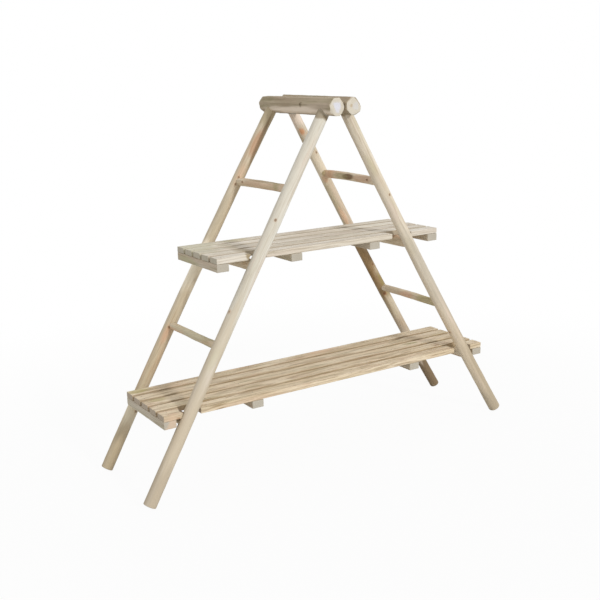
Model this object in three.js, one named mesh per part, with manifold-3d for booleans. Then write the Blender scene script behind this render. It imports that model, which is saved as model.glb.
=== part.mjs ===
// Plant ladder stand: two leaning ladders of peeled poles, hinged to each other under two rough-hewn
// ridge logs, with two slatted shelves laid across the rungs of both ladders.
// Millimetres. X runs along the shelves, Y from the front (-) to the rear (+), Z up from the floor.

import {
    BoxGeometry, BufferAttribute, BufferGeometry, CylinderGeometry, ExtrudeGeometry, Group,
    LatheGeometry, Matrix4, Mesh, MeshStandardMaterial, Quaternion, Shape, Vector2, Vector3,
} from 'three';
import { mergeVertices } from 'three/addons/utils/BufferGeometryUtils.js';
import Module from 'manifold-3d';

const wasm = await Module();
wasm.setup();

// ---------------------------------------------------------------- overall

const ridgeRise = 1200;            // centres of the poles' cut lower ends to the ridge logs' centre line
const footSpread = 1478;           // left to right between the centres of the lower ends
const poleSpacingTop = 325.5;      // front pole to rear pole, centre to centre, at the ridge
const poleSpacingFoot = 356.5;     // front pole to rear pole, centre to centre, at the lower ends

// ---------------------------------------------------------------- fits

const seatGap = 0.3;               // left between any two pieces that touch
const socketClearance = 0.3;       // round and behind a tenon in its socket
const footWear = 1.2;              // how far the floor has flattened the lowest rim of each foot

// ---------------------------------------------------------------- poles

const leftFrontTopDiameter = 40.5;
const leftFrontFootDiameter = 43;
const leftRearTopDiameter = 38;
const leftRearFootDiameter = 40.5;
const rightFrontTopDiameter = 37.5;
const rightFrontFootDiameter = 43.5;
const rightRearTopDiameter = 36.5;
const rightRearFootDiameter = 37.5;
const poleTenonDiameter = 24;
const poleTenonPastCentre = 8;     // how far the tenon runs past the centre line of its log
const poleTenonRoot = 48;          // where the tenon starts inside the pole, below the same centre line
const leftFrontBow = -4;           // natural bend at mid length, towards +X
const leftRearBow = -11;
const rightFrontBow = -13;
const rightRearBow = -14;

// ---------------------------------------------------------------- ridge logs

const logDiameter = 59;            // across the flat that faces the other log
const logGap = 0.6;                // between the two logs, which stop the ladders from spreading further
const logEndBevel = 7;
const leftLogFront = 220.5;        // log ends from the middle between the front and rear poles
const leftLogRear = 222;
const rightLogFront = 230;
const rightLogRear = 184;

// ---------------------------------------------------------------- rungs

const upperRungHeight = 949.5;     // the two rungs of each ladder that carry no shelf
const lowerRungHeight = 477.5;
const leftUpperRungDiameter = 28;
const rightUpperRungDiameter = 29;
const leftLowerRungDiameter = 26;
const rightLowerRungDiameter = 26.5;
const leftUpperRungBow = 2;        // natural bend at mid length, upwards
const rightUpperRungBow = 4;
const leftLowerRungBow = -1;
const rightLowerRungBow = 2;
const rungTenonDiameter = 16;
const shelfRungTenonDiameter = 22;
const rungTenonPastCentre = 4;     // how far a tenon runs past the centre line of its pole
const rungTenonRoot = 34;          // where a tenon starts inside its rung, from the same centre line
const rungEndTaper = 0.15;         // share of its thickness that a rung loses at its ends

// ---------------------------------------------------------------- shelves

const slatCount = 5;
const slatThickness = 19;
const slatEdge = 1.5;              // eased long edges
const cleatWidth = 43;
const cleatHeight = 26;
const cleatEdge = 3;
const shelves = {
    middle: {
        top: 757,                  // height of the slats' upper faces
        slatGap: 11.5,
        frontSetback: 28,          // front slat behind the foremost line of the front poles
        rearPlay: 29,              // rear slat to the rear poles
        rungDiameter: 38,
        leftEndClearance: 60,      // end cleats beyond the outer sides of the front poles
        rightEndClearance: 66,
        leftCleatInset: 116,       // inner cleats' centre lines in from the ends of the centre piece
        rightCleatInset: 77,
        leftNotchOuter: 12,        // room left beside each front pole by the front slat's pieces
        leftNotchInner: 2.5,
        rightNotchInner: 22,
        rightNotchOuter: 4,
    },
    bottom: {
        top: 290,
        slatGap: 13,
        frontSetback: 20,
        rearPlay: 37,
        rungDiameter: 33,
        leftEndClearance: 1.5,
        rightEndClearance: 1.5,
        leftCleatInset: 209,
        rightCleatInset: 194.5,
        leftNotchOuter: 4,
        leftNotchInner: 8.8,
        rightNotchInner: 14.5,
        rightNotchOuter: 5.5,
    },
};

// ---------------------------------------------------------------- hinges

const leafLength = 50;             // along the pin
const leafThickness = 2.5;
const leafBeyondScrews = 6;        // leaf edge beyond the line of its screws
const hingeFromPole = 21.5;        // hinge end to the inner side of the pole top beside it
const knuckleDiameter = 8;
const knuckleGap = 0.4;            // between neighbouring knuckles, and round them in the other leaf
const pinDiameter = 4.6;
const pinHeadDiameter = 6.6;
const pinHeadHeight = 1.6;
const screwSpacing = 28;           // along the pin
const screwHeadDiameter = 7.6;
const screwHeadHeight = 2.1;
const screwShankDiameter = 3.8;
const screwLength = 18;
const screwPoint = 4;

// ---------------------------------------------------------------- facets

const poleSides = 14;
const poleSteps = 8;
const rungSides = 12;
const rungSteps = 6;
const socketSides = 12;
const smallSides = 16;

// ---------------------------------------------------------------- finishes

const poleWood = { color: 0xd8ccb8, roughness: 0.72, metalness: 0 };
const rungWood = { color: 0xc6b396, roughness: 0.75, metalness: 0 };
const logWood = { color: 0xa89a7c, roughness: 0.82, metalness: 0 };
const paleSlatWood = { color: 0xded7c8, roughness: 0.8, metalness: 0 };
const tanSlatWood = { color: 0xcbb999, roughness: 0.82, metalness: 0 };
const cleatWood = { color: 0xc3ae8d, roughness: 0.82, metalness: 0 };
const zincSteel = { color: 0xa9acae, roughness: 0.42, metalness: 0.9 };

// ---------------------------------------------------------------- worked-out sizes

const sides = { left: -1, right: 1 };
const faces = { front: -1, rear: 1 };
const logOffset = (logDiameter + logGap) / 2;
const lean = Math.atan2(footSpread / 2 - logOffset, ridgeRise);
const poleSizes = {
    left: {
        front: { top: leftFrontTopDiameter, foot: leftFrontFootDiameter, bow: leftFrontBow },
        rear: { top: leftRearTopDiameter, foot: leftRearFootDiameter, bow: leftRearBow },
    },
    right: {
        front: { top: rightFrontTopDiameter, foot: rightFrontFootDiameter, bow: rightFrontBow },
        rear: { top: rightRearTopDiameter, foot: rightRearFootDiameter, bow: rightRearBow },
    },
};
const footCentreHeight = (diameter) => (diameter / 2) * Math.sin(lean) - footWear;
const ridgeHeight = footCentreHeight(leftFrontFootDiameter) + ridgeRise;
const leafWidth = logOffset + leafBeyondScrews;
const pinHeight = ridgeHeight - logDiameter / 2 - seatGap - leafThickness;
const hingeOffset = (poleSpacingTop - leftFrontTopDiameter - leafLength) / 2 - hingeFromPole;

// ---------------------------------------------------------------- solids

/** Turns a closed geometry into a solid that can be joined and cut. */
function solidFrom(geometry) {
    const bare = geometry.clone();
    bare.deleteAttribute('normal');
    bare.deleteAttribute('uv');
    const merged = mergeVertices(bare, 1e-4);
    const corners = merged.index.array;
    const kept = [];
    for (let i = 0; i < corners.length; i += 3) {
        const [a, b, c] = [corners[i], corners[i + 1], corners[i + 2]];
        if (a !== b && b !== c && c !== a) kept.push(a, b, c);
    }
    return new wasm.Manifold(new wasm.Mesh({
        numProp: 3,
        vertProperties: new Float32Array(merged.attributes.position.array),
        triVerts: new Uint32Array(kept),
    }));
}

/** Turns a solid back into a geometry with flat faces. */
function geometryFrom(solid) {
    const mesh = solid.getMesh();
    const geometry = new BufferGeometry();
    geometry.setAttribute('position', new BufferAttribute(new Float32Array(mesh.vertProperties), 3));
    geometry.setIndex(new BufferAttribute(new Uint32Array(mesh.triVerts), 1));
    return geometry;
}

function named(name, geometry, finish) {
    const mesh = new Mesh(geometry, new MeshStandardMaterial(finish));
    mesh.name = name;
    return mesh;
}

/** A round stick between two points: radiusAt(share) gives its radius, bow its bend at mid length. */
function stick(from, to, radiusAt, bow, sideCount, steps) {
    const along = new Vector3().subVectors(to, from);
    const length = along.length();
    const geometry = new CylinderGeometry(1, 1, length, sideCount, steps);
    geometry.translate(0, length / 2, 0);
    const turn = new Quaternion().setFromUnitVectors(new Vector3(0, 1, 0), along.normalize());
    const position = geometry.attributes.position;
    for (let i = 0; i < position.count; i += 1) {
        const share = position.getY(i) / length;
        const radius = radiusAt(share);
        const point = new Vector3(position.getX(i) * radius, position.getY(i), position.getZ(i) * radius);
        point.applyQuaternion(turn).add(from).addScaledVector(bow, 4 * share * (1 - share));
        position.setXYZ(i, point.x, point.y, point.z);
    }
    return geometry;
}

/** A straight round bar, used for tenons and, a little larger, for their sockets. */
function bar(from, to, radius, sideCount) {
    return stick(from, to, () => radius, new Vector3(), sideCount, 1);
}

/** The outline of a rectangle with its four corners eased, centred on the origin. */
function easedRectangle(width, height, edge) {
    const [x, y] = [width / 2, height / 2];
    return new Shape([
        new Vector2(-x + edge, -y), new Vector2(x - edge, -y), new Vector2(x, -y + edge),
        new Vector2(x, y - edge), new Vector2(x - edge, y), new Vector2(-x + edge, y),
        new Vector2(-x, y - edge), new Vector2(-x, -y + edge),
    ]);
}

// ---------------------------------------------------------------- poles

/** The shape of one pole: its centre line, its radius at a height, and the sides that face along X. */
function poleShape(side, face) {
    const sign = sides[side];
    const size = poleSizes[side][face];
    const top = new Vector3(sign * logOffset, (faces[face] * poleSpacingTop) / 2, ridgeHeight);
    const foot = new Vector3(
        (sign * footSpread) / 2, (faces[face] * poleSpacingFoot) / 2, footCentreHeight(size.foot),
    );
    const bow = new Vector3(size.bow, 0, 0);
    const radiusAt = (share) => (size.top + (size.foot - size.top) * share) / 2;
    const shareAt = (height) => (top.z - height) / (top.z - foot.z);
    const centreAt = (height) => {
        const share = shareAt(height);
        return top.clone().lerp(foot, share).addScaledVector(bow, 4 * share * (1 - share));
    };
    const halfWidthAt = (height) => radiusAt(shareAt(height)) / Math.cos(lean);
    return {
        top,
        foot,
        centreAt,
        halfDepthAt: (height) => radiusAt(shareAt(height)),
        innerSideAt: (height) => centreAt(height).x - sign * halfWidthAt(height),
        outerSideAt: (height) => centreAt(height).x + sign * halfWidthAt(height),
        solid: (extra) => solidFrom(
            stick(top, foot, (share) => radiusAt(share) + extra, bow, poleSides, poleSteps),
        ),
    };
}

const poles = {
    left: { front: poleShape('left', 'front'), rear: poleShape('left', 'rear') },
    right: { front: poleShape('right', 'front'), rear: poleShape('right', 'rear') },
};

/** The tenon at the top of a pole, or its socket when it is given some clearance. */
function poleTenon(pole, clearance) {
    const root = pole.centreAt(ridgeHeight - poleTenonRoot * Math.cos(lean));
    const upwards = new Vector3().subVectors(pole.top, root).normalize();
    const tip = pole.top.clone().addScaledVector(upwards, poleTenonPastCentre + clearance);
    return solidFrom(bar(root, tip, poleTenonDiameter / 2 + clearance, socketSides));
}

/** Everything below the floor, round one foot. */
function floorUnder(pole) {
    const reach = leftFrontFootDiameter * 4;
    const block = new BoxGeometry(reach, reach, reach);
    block.translate(pole.foot.x, pole.foot.y, -reach / 2);
    return solidFrom(block);
}

// ---------------------------------------------------------------- ridge logs

/** A hewn log's flats: angle from straight down, positive away from the other log, and distance. */
function logFlats() {
    const half = logDiameter / 2;
    return [
        { angle: 0, distance: half },                        // hinge leaves
        { angle: lean, distance: half },                     // pole shoulders
        { angle: (80 * Math.PI) / 180, distance: half * 0.99 },
        { angle: (128 * Math.PI) / 180, distance: half * 0.98 },
        { angle: (174 * Math.PI) / 180, distance: half * 0.985 },
        { angle: (222 * Math.PI) / 180, distance: half },
        { angle: (270 * Math.PI) / 180, distance: half },    // faces the other log
        { angle: (316 * Math.PI) / 180, distance: half },
    ];
}

/** The log's outline in X and Z round its own centre line, grown by a margin. */
function logOutline(sign, margin) {
    const flats = logFlats();
    const points = flats.map((flat, i) => {
        const next = flats[(i + 1) % flats.length];
        const [a, b] = [flat.distance + margin, next.distance + margin];
        const det = Math.sin(next.angle - flat.angle);
        const out = (a * Math.cos(next.angle) - b * Math.cos(flat.angle)) / -det;
        const down = (a * Math.sin(next.angle) - b * Math.sin(flat.angle)) / det;
        return new Vector2(sign * out, -down);
    });
    return new Shape(sign > 0 ? points : points.reverse());
}

/** Where each log starts and ends along Y. */
const logSpans = {
    left: { front: -leftLogFront, rear: leftLogRear },
    right: { front: -rightLogFront, rear: rightLogRear },
};

/** A prism with the log's outline, grown by a margin, from one Y to another. */
function logPrism(side, margin, front, rear, bevel) {
    const geometry = new ExtrudeGeometry(logOutline(sides[side], margin), {
        depth: rear - front - 2 * bevel,
        bevelEnabled: bevel > 0,
        bevelThickness: bevel,
        bevelSize: bevel * 0.8,
        bevelOffset: -bevel * 0.8,
        bevelSegments: 2,
    });
    geometry.rotateX(Math.PI / 2);
    geometry.translate(sides[side] * logOffset, rear - bevel, ridgeHeight);
    return solidFrom(geometry);
}

function makeLog(side) {
    const span = logSpans[side];
    let solid = logPrism(side, 0, span.front, span.rear, logEndBevel);
    for (const face of Object.keys(faces)) {
        solid = solid.subtract(poleTenon(poles[side][face], socketClearance));
    }
    for (const place of screwPlaces(side)) {
        const from = new Vector3(place.x, place.y, pinHeight);
        const to = new Vector3(place.x, place.y, pinHeight + screwLength + socketClearance);
        solid = solid.subtract(
            solidFrom(bar(from, to, screwShankDiameter / 2 + socketClearance, smallSides)),
        );
    }
    return named(`${side}_ridge_log`, geometryFrom(solid), logWood);
}

// ---------------------------------------------------------------- rungs

/** Every rung of one ladder, from the ridge down. */
function rungPlans(side) {
    const shelfRung = (shelf) => ({
        height: shelf.top - slatThickness - seatGap - shelf.rungDiameter / 2,
        diameter: shelf.rungDiameter,
        bow: 0,
        tenon: shelfRungTenonDiameter,
    });
    const freeRung = (height, diameter, bow) => ({ height, diameter, bow, tenon: rungTenonDiameter });
    return {
        upper_rung: side === 'left'
            ? freeRung(upperRungHeight, leftUpperRungDiameter, leftUpperRungBow)
            : freeRung(upperRungHeight, rightUpperRungDiameter, rightUpperRungBow),
        middle_shelf_rung: shelfRung(shelves.middle),
        lower_rung: side === 'left'
            ? freeRung(lowerRungHeight, leftLowerRungDiameter, leftLowerRungBow)
            : freeRung(lowerRungHeight, rightLowerRungDiameter, rightLowerRungBow),
        bottom_shelf_rung: shelfRung(shelves.bottom),
    };
}

/** A rung's tenon in one of its poles, or the socket for it when it is given some clearance. */
function rungTenon(side, face, plan, clearance) {
    const centre = poles[side][face].centreAt(plan.height);
    const outwards = faces[face];
    const tip = centre.clone();
    tip.y += outwards * (rungTenonPastCentre + clearance);
    const root = centre.clone();
    root.y -= outwards * rungTenonRoot;
    return solidFrom(bar(root, tip, plan.tenon / 2 + clearance, socketSides));
}

function makeRung(side, name, plan) {
    const from = poles[side].front.centreAt(plan.height);
    const to = poles[side].rear.centreAt(plan.height);
    const radiusAt = (share) => {
        const fromMiddle = Math.abs(2 * share - 1);
        return (plan.diameter / 2) * (1 - rungEndTaper * fromMiddle ** 4);
    };
    const body = stick(from, to, radiusAt, new Vector3(0, 0, plan.bow), rungSides, rungSteps);
    let solid = solidFrom(body);
    for (const face of Object.keys(faces)) {
        solid = solid.subtract(poles[side][face].solid(seatGap));
        solid = solid.add(rungTenon(side, face, plan, 0));
    }
    return named(`${side}_${name}`, geometryFrom(solid), rungWood);
}

function makePole(side, face) {
    const pole = poles[side][face];
    const span = logSpans[side];
    const beyond = leftFrontTopDiameter;
    let solid = pole.solid(0);
    solid = solid.subtract(logPrism(side, seatGap, span.front - beyond, span.rear + beyond, 0));
    solid = solid.subtract(floorUnder(pole));
    for (const plan of Object.values(rungPlans(side))) {
        solid = solid.subtract(rungTenon(side, face, plan, socketClearance));
    }
    solid = solid.add(poleTenon(pole, 0));
    return named(`${side}_${face}_pole`, geometryFrom(solid), poleWood);
}

// ---------------------------------------------------------------- hinges

/** Where the screws of one ladder's leaves stand, front hinge first. */
function screwPlaces(side) {
    return Object.entries(faces).flatMap(([face, along]) => [-1, 1].map((end) => ({
        hinge: face,
        x: sides[side] * logOffset,
        y: along * hingeOffset + (end * screwSpacing) / 2,
    })));
}

/** A countersunk screw's outline turned round its axis, pointing up, grown by a clearance. */
function screwGeometry(clearance) {
    const head = screwHeadDiameter / 2 + clearance;
    const shank = screwShankDiameter / 2 + clearance;
    const geometry = new LatheGeometry([
        new Vector2(0, -clearance),
        new Vector2(head, -clearance),
        new Vector2(head, clearance),
        new Vector2(shank, screwHeadHeight + clearance),
        new Vector2(shank, screwLength - screwPoint),
        new Vector2(0, screwLength + clearance),
    ], smallSides);
    geometry.rotateX(Math.PI / 2);
    return geometry;
}

/** The stretches of the hinge's length that each leaf's knuckles take: two outer, one middle. */
function knuckleStretches(side) {
    const third = leafLength / 3;
    const gap = knuckleGap / 2;
    const half = leafLength / 2;
    if (side === 'right') return [[-half + third + gap, half - third - gap]];
    return [[-half, -half + third - gap], [half - third + gap, half]];
}

/** A block along the pin's axis, from one Y to another, between two X and two Z. */
function block(x, y, z) {
    const geometry = new BoxGeometry(x[1] - x[0], y[1] - y[0], z[1] - z[0]);
    geometry.translate((x[0] + x[1]) / 2, (y[0] + y[1]) / 2, (z[0] + z[1]) / 2);
    return solidFrom(geometry);
}

/** One leaf with its knuckles, bore and countersunk holes, round the pin's middle as its origin. */
function makeLeaf(side, face) {
    const sign = sides[side];
    const reach = (from, to) => (sign > 0 ? [from, to] : [-to, -from]);
    const half = leafLength / 2;
    const other = side === 'left' ? 'right' : 'left';
    let solid = block(reach(0, leafWidth), [-half, half], [0, leafThickness]);
    for (const [from, to] of knuckleStretches(other)) {
        const relief = knuckleDiameter / 2 + knuckleGap;
        solid = solid.subtract(block(
            reach(-1, relief), [from - knuckleGap, to + knuckleGap], [-1, leafThickness + 1],
        ));
    }
    for (const [from, to] of knuckleStretches(side)) {
        const ends = [new Vector3(0, from, 0), new Vector3(0, to, 0)];
        solid = solid.add(solidFrom(bar(...ends, knuckleDiameter / 2, smallSides)));
    }
    const boreEnds = [new Vector3(0, -leafLength, 0), new Vector3(0, leafLength, 0)];
    const bore = pinDiameter / 2 + socketClearance;
    solid = solid.subtract(solidFrom(bar(...boreEnds, bore, smallSides)));
    for (const end of [-1, 1]) {
        const hole = screwGeometry(socketClearance);
        hole.translate(sign * logOffset, (end * screwSpacing) / 2, 0);
        solid = solid.subtract(solidFrom(hole));
    }
    const leaf = named(`${face}_hinge_${side}_leaf`, geometryFrom(solid), zincSteel);
    leaf.position.set(0, faces[face] * hingeOffset, pinHeight);
    return leaf;
}

/** The hinge pin, with a flat head at each end. */
function makePin(face) {
    const half = leafLength / 2 + seatGap;
    const [shaft, head] = [pinDiameter / 2, pinHeadDiameter / 2];
    const geometry = new LatheGeometry([
        new Vector2(0, -half - pinHeadHeight),
        new Vector2(head, -half - pinHeadHeight),
        new Vector2(head, -half),
        new Vector2(shaft, -half),
        new Vector2(shaft, half),
        new Vector2(head, half),
        new Vector2(head, half + pinHeadHeight),
        new Vector2(0, half + pinHeadHeight),
    ], smallSides);
    const pin = named(`${face}_hinge_pin`, geometry, zincSteel);
    pin.position.set(0, faces[face] * hingeOffset, pinHeight);
    return pin;
}

function makeScrews(side) {
    return screwPlaces(side).map((place, i) => {
        const name = `${place.hinge}_hinge_${side}_screw_${(i % 2) + 1}`;
        const screw = named(name, screwGeometry(0), zincSteel);
        screw.position.set(place.x, place.y, pinHeight);
        return screw;
    });
}

// ---------------------------------------------------------------- ladders

function makeLadder(side) {
    const ladder = new Group();
    ladder.add(makePole(side, 'front'), makePole(side, 'rear'), makeLog(side));
    for (const [name, plan] of Object.entries(rungPlans(side))) {
        ladder.add(makeRung(side, name, plan));
    }
    ladder.add(makeLeaf(side, 'front'), makeLeaf(side, 'rear'), ...makeScrews(side));
    return ladder;
}

// ---------------------------------------------------------------- shelves

/** A slat from one X to another, its upper face at Z = 0 and its middle on Y = 0. */
function slatGeometry(from, to, width) {
    const geometry = new ExtrudeGeometry(easedRectangle(width, slatThickness, slatEdge), {
        depth: to - from,
        bevelEnabled: false,
    });
    geometry.applyMatrix4(new Matrix4().makeBasis(
        new Vector3(0, 1, 0), new Vector3(0, 0, 1), new Vector3(1, 0, 0),
    ));
    geometry.translate(from, 0, -slatThickness / 2);
    return geometry;
}

/** A cleat from one Y to another, its upper face at Z = 0 and its middle on X = 0. */
function cleatGeometry(from, to) {
    const geometry = new ExtrudeGeometry(easedRectangle(cleatHeight, cleatWidth, cleatEdge), {
        depth: to - from,
        bevelEnabled: false,
    });
    geometry.applyMatrix4(new Matrix4().makeBasis(
        new Vector3(0, 0, 1), new Vector3(1, 0, 0), new Vector3(0, 1, 0),
    ));
    geometry.translate(0, from, -cleatHeight / 2);
    return geometry;
}

/** Where a shelf lies: its depth between the poles, its slats across it and its ends along X. */
function shelfLayout(shelf) {
    const { front: frontPole, rear: rearPole } = poles.left;
    const foremost = frontPole.centreAt(shelf.top).y - frontPole.halfDepthAt(shelf.top);
    const front = foremost + shelf.frontSetback;
    const rearFace = rearPole.centreAt(shelf.top).y - rearPole.halfDepthAt(shelf.top);
    const rear = rearFace - shelf.rearPlay;
    const slatWidth = (rear - front - (slatCount - 1) * shelf.slatGap) / slatCount;
    const slatBottom = shelf.top - slatThickness;
    const cleatBottom = slatBottom - seatGap - cleatHeight;
    const leftSide = frontPole.outerSideAt(cleatBottom);
    const rightSide = poles.right.front.outerSideAt(cleatBottom);
    const leftEnd = leftSide - shelf.leftEndClearance - cleatWidth;
    const rightEnd = rightSide + shelf.rightEndClearance + cleatWidth;
    return { front, rear, slatWidth, slatBottom, leftEnd, rightEnd };
}

/** The stretches of the front slat along X, left to right, broken where the front poles pass. */
function frontSlatStretches(shelf, layout) {
    const leftPole = poles.left.front;
    const rightPole = poles.right.front;
    return {
        left: [layout.leftEnd, leftPole.outerSideAt(layout.slatBottom) - shelf.leftNotchOuter],
        centre: [
            leftPole.innerSideAt(shelf.top) + shelf.leftNotchInner,
            rightPole.innerSideAt(shelf.top) - shelf.rightNotchInner,
        ],
        right: [rightPole.outerSideAt(layout.slatBottom) + shelf.rightNotchOuter, layout.rightEnd],
    };
}

function makeShelf(name, shelf, slatFinish) {
    const layout = shelfLayout(shelf);
    const group = new Group();
    group.position.z = shelf.top;
    const frontSlatY = layout.front + layout.slatWidth / 2;
    const stretches = frontSlatStretches(shelf, layout);
    for (const [place, [from, to]] of Object.entries(stretches)) {
        const piece = slatGeometry(from, to, layout.slatWidth);
        const slat = named(`${name}_shelf_front_slat_${place}`, piece, slatFinish);
        slat.position.y = frontSlatY;
        group.add(slat);
    }
    for (let i = 1; i < slatCount; i += 1) {
        const whole = slatGeometry(layout.leftEnd, layout.rightEnd, layout.slatWidth);
        const slat = named(`${name}_shelf_slat_${i + 1}`, whole, slatFinish);
        slat.position.y = frontSlatY + i * (layout.slatWidth + shelf.slatGap);
        group.add(slat);
    }
    const cleatPlaces = [
        layout.leftEnd + cleatWidth / 2,
        stretches.centre[0] + shelf.leftCleatInset,
        stretches.centre[1] - shelf.rightCleatInset,
        layout.rightEnd - cleatWidth / 2,
    ];
    cleatPlaces.forEach((x, i) => {
        const length = cleatGeometry(layout.front, layout.rear);
        const cleat = named(`${name}_shelf_cleat_${i + 1}`, length, cleatWood);
        cleat.position.set(x, 0, -slatThickness - seatGap);
        group.add(cleat);
    });
    return group;
}

// ---------------------------------------------------------------- the stand

/** Puts the middle of the stand's depth on Y = 0: the right log leads, the left log trails. */
function depthShift() {
    return (rightLogFront - leftLogRear) / 2;
}

const stand = new Group();
stand.add(makeLadder('left'), makeLadder('right'), makePin('front'), makePin('rear'));
stand.add(makeShelf('middle', shelves.middle, paleSlatWood));
stand.add(makeShelf('bottom', shelves.bottom, tanSlatWood));
stand.position.y = depthShift();

export default stand;
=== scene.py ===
"""Visual model of a plant ladder stand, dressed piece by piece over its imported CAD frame."""

import logging
import math
import random
from dataclasses import dataclass, field, replace
from enum import Enum
from typing import Callable, Sequence, Union

import bmesh
import bpy
from mathutils import Matrix, Vector


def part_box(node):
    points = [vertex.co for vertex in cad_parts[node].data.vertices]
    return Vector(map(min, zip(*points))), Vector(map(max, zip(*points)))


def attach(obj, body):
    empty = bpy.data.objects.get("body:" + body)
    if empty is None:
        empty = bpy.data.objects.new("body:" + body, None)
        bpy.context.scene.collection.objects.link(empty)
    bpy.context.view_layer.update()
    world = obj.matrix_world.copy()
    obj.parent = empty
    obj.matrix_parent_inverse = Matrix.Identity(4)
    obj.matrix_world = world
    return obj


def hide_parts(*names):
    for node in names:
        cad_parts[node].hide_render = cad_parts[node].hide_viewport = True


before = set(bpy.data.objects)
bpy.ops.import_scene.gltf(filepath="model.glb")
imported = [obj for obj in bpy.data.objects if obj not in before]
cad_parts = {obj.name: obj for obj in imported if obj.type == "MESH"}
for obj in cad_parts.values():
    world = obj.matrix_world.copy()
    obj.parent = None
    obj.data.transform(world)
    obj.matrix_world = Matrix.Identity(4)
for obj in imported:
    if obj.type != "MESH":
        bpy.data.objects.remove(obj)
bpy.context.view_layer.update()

Colour = tuple[float, float, float]
Point = tuple[float, float, float]
Row = tuple[object, ...]
Piece = bpy.types.Object
Socket = bpy.types.NodeSocket
log = logging.getLogger("plant_ladder_stand")

# ---- sizes, in metres

RIDGE_HEIGHT = 1.20974          # centre line of the ridge logs
RIDGE_OFFSET = 0.0298           # ridge log centre from the middle of the stand
FOOT_OFFSET = 0.739             # foot centre from the middle of the stand
DEPTH_SHIFT = 0.004             # middle between front and rear poles
TOP_SPACING = 0.3255            # front pole to rear pole at the ridge
FOOT_SPACING = 0.3565           # front pole to rear pole at the feet
FOOT_WEAR = 0.0012              # how much of each foot's lowest edge the floor has worn off
LEAN = math.atan2(FOOT_OFFSET - RIDGE_OFFSET, 1.2)
LOG_HALF = 0.0295               # log centre to its flats
INSET = 0.00015                 # how far a new piece keeps inside the outline of its CAD node
SMOOTH_UP_TO = math.radians(40)  # edges sharper than this stay crisp
SUBDIVIDED_LOSS = 0.98864       # radius of a subdivided 24-sided ring, as a share of the ring's own


class Side(Enum):
    """The two ladders of the stand, with their sign along X."""

    LEFT = -1
    RIGHT = 1


class Face(Enum):
    """Front and rear of the stand, with their sign along Y."""

    FRONT = -1
    REAR = 1


def paint(red: int, green: int, blue: int) -> Colour:
    """A linear colour from display values between 0 and 255."""
    parts = (value / 255 for value in (red, green, blue))
    return tuple(v / 12.92 if v <= 0.04045 else ((v + 0.055) / 1.055) ** 2.4 for v in parts)


def paints(**colours: tuple[int, int, int]) -> dict[str, Colour]:
    """Named linear colours from display values."""
    return {name: paint(*values) for name, values in colours.items()}


# ---- shader bench


class Val:
    """A number in a node tree, whose Python operators add Math nodes."""

    def __init__(self, bench: "Bench", socket: Socket) -> None:
        self.bench = bench
        self.socket = socket

    def _math(self, operation: str, first: "Number", second: "Number" = 0.0) -> "Val":
        """Adds one Math node for an operation on two numbers."""
        node = self.bench.add("ShaderNodeMath", {"operation": operation}, {0: first, 1: second})
        return Val(self.bench, node.outputs[0])

    def __add__(self, other: "Number") -> "Val":
        """This number plus another."""
        return self._math("ADD", self, other)

    def __sub__(self, other: "Number") -> "Val":
        """This number minus another."""
        return self._math("SUBTRACT", self, other)

    def __rsub__(self, other: "Number") -> "Val":
        """Another number minus this one."""
        return self._math("SUBTRACT", other, self)

    def __mul__(self, other: "Number") -> "Val":
        """This number times another."""
        return self._math("MULTIPLY", self, other)

    __radd__ = __add__
    __rmul__ = __mul__

    def size(self) -> "Val":
        """The number without its sign."""
        return self._math("ABSOLUTE", self)

    def wave(self) -> "Val":
        """A sine of the number, from 0 to 1."""
        return self._math("SINE", self) * 0.5 + 0.5

    def ease(self, low: float, high: float) -> "Val":
        """A smooth step from 0 at low to 1 at high.

        Args:
            low: Where the step begins.
            high: Where it ends.

        Returns:
            The step.
        """
        node = self.bench.add(
            "ShaderNodeMapRange",
            {"interpolation_type": "SMOOTHSTEP"},
            {"Value": self, "From Min": low, "From Max": high},
        )
        return Val(self.bench, node.outputs["Result"])


Number = Union[Val, float]
Feed = Union[Val, Socket, float, Sequence[float]]


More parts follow.
